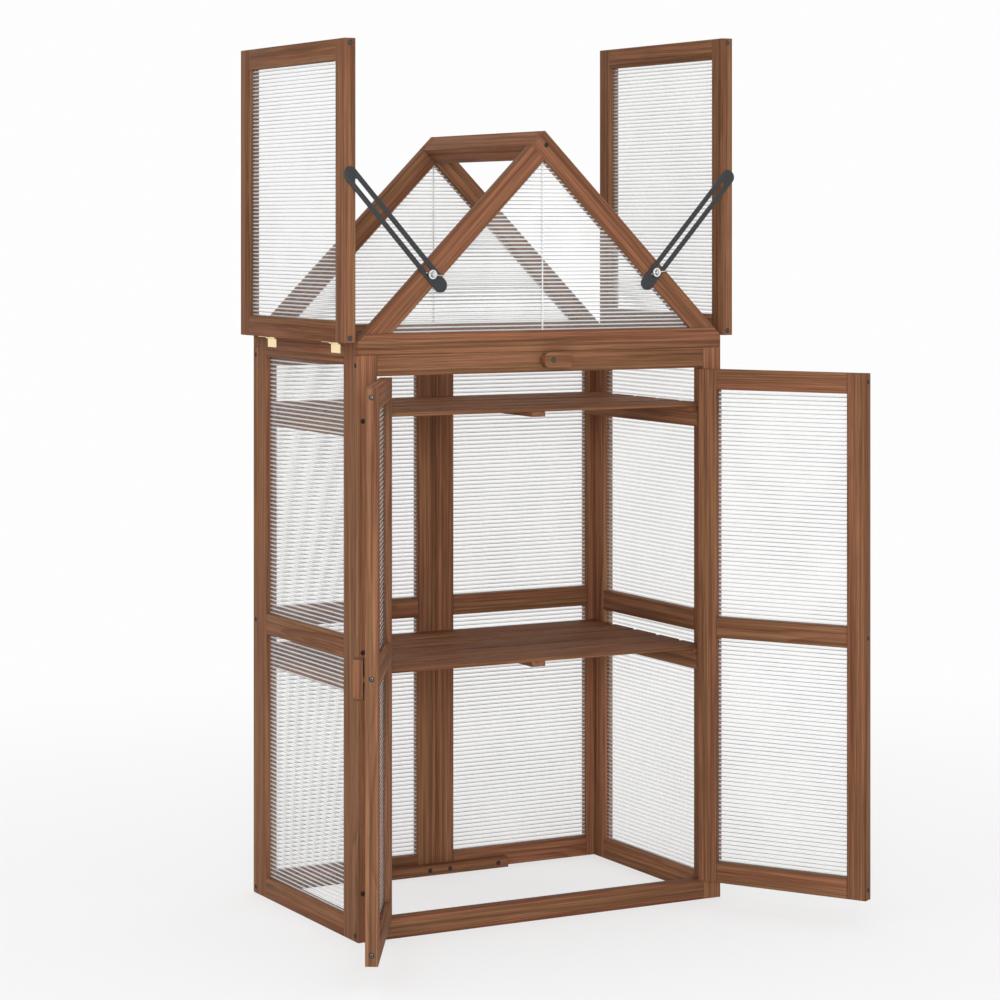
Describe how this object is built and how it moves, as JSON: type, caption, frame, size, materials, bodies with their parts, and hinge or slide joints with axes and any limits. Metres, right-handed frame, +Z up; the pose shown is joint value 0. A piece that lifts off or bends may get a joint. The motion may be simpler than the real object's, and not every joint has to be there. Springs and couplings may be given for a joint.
{
  "type": "wooden mini greenhouse",
  "caption": "Upright wooden cold-frame greenhouse with a pair of front doors, lifting roof flaps on slotted stays, clear ribbed sheets and slatted shelves.",
  "frame": {"origin": "middle of the front sill's underside, on the ground, halfway through the sill's thickness", "axes": "+Z up, -Y out of the front towards which the doors open, +X to the right as seen from the front"},
  "size_m": [1.0438, 0.7717, 1.6288],
  "materials": {
    "stained_timber": "brown stained softwood, satin",
    "clear_sheet": "clear ribbed twin-wall plastic sheet",
    "brass_hinge": "satin brass",
    "black_stay": "black satin",
    "bright_nut": "bright plated"
  },
  "bodies": {
    "root": {"front_left_post": "stained_timber", "front_right_post": "stained_timber", "front_sill": "stained_timber", "front_header": "stained_timber", "left_side_frame": "stained_timber", "left_side_lower_sheet": "clear_sheet", "left_side_upper_sheet": "clear_sheet", "right_side_frame": "stained_timber", "right_side_lower_sheet": "clear_sheet", "right_side_upper_sheet": "clear_sheet", "back_left_frame": "stained_timber", "back_left_lower_sheet": "clear_sheet", "back_left_upper_sheet": "clear_sheet", "back_right_frame": "stained_timber", "back_right_lower_sheet": "clear_sheet", "back_right_upper_sheet": "clear_sheet", "back_joining_strip": "stained_timber", "front_gable_frame": "stained_timber", "front_gable_sheet": "clear_sheet", "back_gable_frame": "stained_timber", "back_gable_sheet": "clear_sheet", "ridge_beam": "stained_timber", "upper_left_cleat": "stained_timber", "upper_right_cleat": "stained_timber", "lower_left_cleat": "stained_timber", "lower_right_cleat": "stained_timber", "left_door_upper_hinge_post_leaf": "brass_hinge", "left_door_lower_hinge_post_leaf": "brass_hinge", "right_door_upper_hinge_post_leaf": "brass_hinge", "right_door_lower_hinge_post_leaf": "brass_hinge", "left_flap_front_hinge_side_leaf": "brass_hinge", "left_flap_back_hinge_side_leaf": "brass_hinge", "right_flap_front_hinge_side_leaf": "brass_hinge", "right_flap_back_hinge_side_leaf": "brass_hinge"},
    "left_door": {"left_door_frame": "stained_timber", "left_door_lower_sheet": "clear_sheet", "left_door_upper_sheet": "clear_sheet", "left_door_upper_hinge_door_leaf": "brass_hinge", "left_door_lower_hinge_door_leaf": "brass_hinge"},
    "right_door": {"right_door_frame": "stained_timber", "right_door_lower_sheet": "clear_sheet", "right_door_upper_sheet": "clear_sheet", "right_door_upper_hinge_door_leaf": "brass_hinge", "right_door_lower_hinge_door_leaf": "brass_hinge"},
    "left_flap": {"left_flap_frame": "stained_timber", "left_flap_sheet": "clear_sheet", "left_flap_front_hinge_flap_leaf": "brass_hinge", "left_flap_back_hinge_flap_leaf": "brass_hinge"},
    "left_stay": {"left_stay_arm": "black_stay"},
    "left_clamp": {"left_stay_clamp": "bright_nut"},
    "right_flap": {"right_flap_frame": "stained_timber", "right_flap_sheet": "clear_sheet", "right_flap_front_hinge_flap_leaf": "brass_hinge", "right_flap_back_hinge_flap_leaf": "brass_hinge"},
    "right_stay": {"right_stay_arm": "black_stay"},
    "right_clamp": {"right_stay_clamp": "bright_nut"},
    "header_button": {"header_turn_button": "stained_timber"},
    "door_button": {"door_turn_button": "stained_timber"},
    "upper_shelf": {"upper_shelf": "stained_timber"},
    "lower_shelf": {"lower_shelf": "stained_timber"}
  },
  "joints": [
    {"name": "left_door_hinge", "type": "hinge", "parent": "root", "child": "left_door", "pos_m": [-0.3426, -0.0139, 0.522], "axis": [0, 0, 1], "range_deg": [-59.8, 120.2]},
    {"name": "right_door_hinge", "type": "hinge", "parent": "root", "child": "right_door", "pos_m": [0.3426, -0.0139, 0.522], "axis": [0, 0, -1], "range_deg": [-59, 121]},
    {"name": "left_flap_hinge", "type": "hinge", "parent": "root", "child": "left_flap", "pos_m": [-0.3839, 0.2195, 1.06233], "axis": [0, 1, 0], "range_deg": [0, 45]},
    {"name": "left_stay_pivot", "type": "hinge", "parent": "left_flap", "child": "left_stay", "pos_m": [-0.3965, -0.01265, 1.36493], "axis": [0, 1, 0], "range_deg": [0, 26.59]},
    {"name": "left_clamp_slide", "type": "slide", "parent": "left_stay", "child": "left_clamp", "axis": [-0.6688, 0, 0.7434], "range_m": [0, 0.12662]},
    {"name": "right_flap_hinge", "type": "hinge", "parent": "root", "child": "right_flap", "pos_m": [0.3839, 0.2195, 1.06233], "axis": [0, -1, 0], "range_deg": [0, 45]},
    {"name": "right_stay_pivot", "type": "hinge", "parent": "right_flap", "child": "right_stay", "pos_m": [0.3965, -0.01265, 1.36493], "axis": [0, -1, 0], "range_deg": [0, 26.59]},
    {"name": "right_clamp_slide", "type": "slide", "parent": "right_stay", "child": "right_clamp", "axis": [0.6688, 0, 0.7434], "range_m": [0, 0.12662]},
    {"name": "header_button_turn", "type": "hinge", "parent": "root", "child": "header_button", "pos_m": [0.0058, -0.011, 1.0273], "axis": [0, 1, 0], "continuous": true},
    {"name": "door_button_turn", "type": "hinge", "parent": "left_door", "child": "door_button", "pos_m": [-0.50237, -0.29417, 0.5155], "axis": [-0.8643, 0.503, 0], "continuous": true},
    {"name": "upper_shelf_lift", "type": "slide", "parent": "root", "child": "upper_shelf", "axis": [0, 0, 1], "range_m": [0, 0.12]},
    {"name": "lower_shelf_lift", "type": "slide", "parent": "root", "child": "lower_shelf", "axis": [0, 0, 1], "range_m": [0, 0.12]}
  ],
  "couplings": [
    {"joint": "left_stay_pivot", "follows": "left_flap_hinge", "ratio": 0.59078},
    {"joint": "left_clamp_slide", "follows": "left_flap_hinge", "m_per_rad": 0.16121},
    {"joint": "right_stay_pivot", "follows": "right_flap_hinge", "ratio": 0.59078},
    {"joint": "right_clamp_slide", "follows": "right_flap_hinge", "m_per_rad": 0.16121}
  ]
}
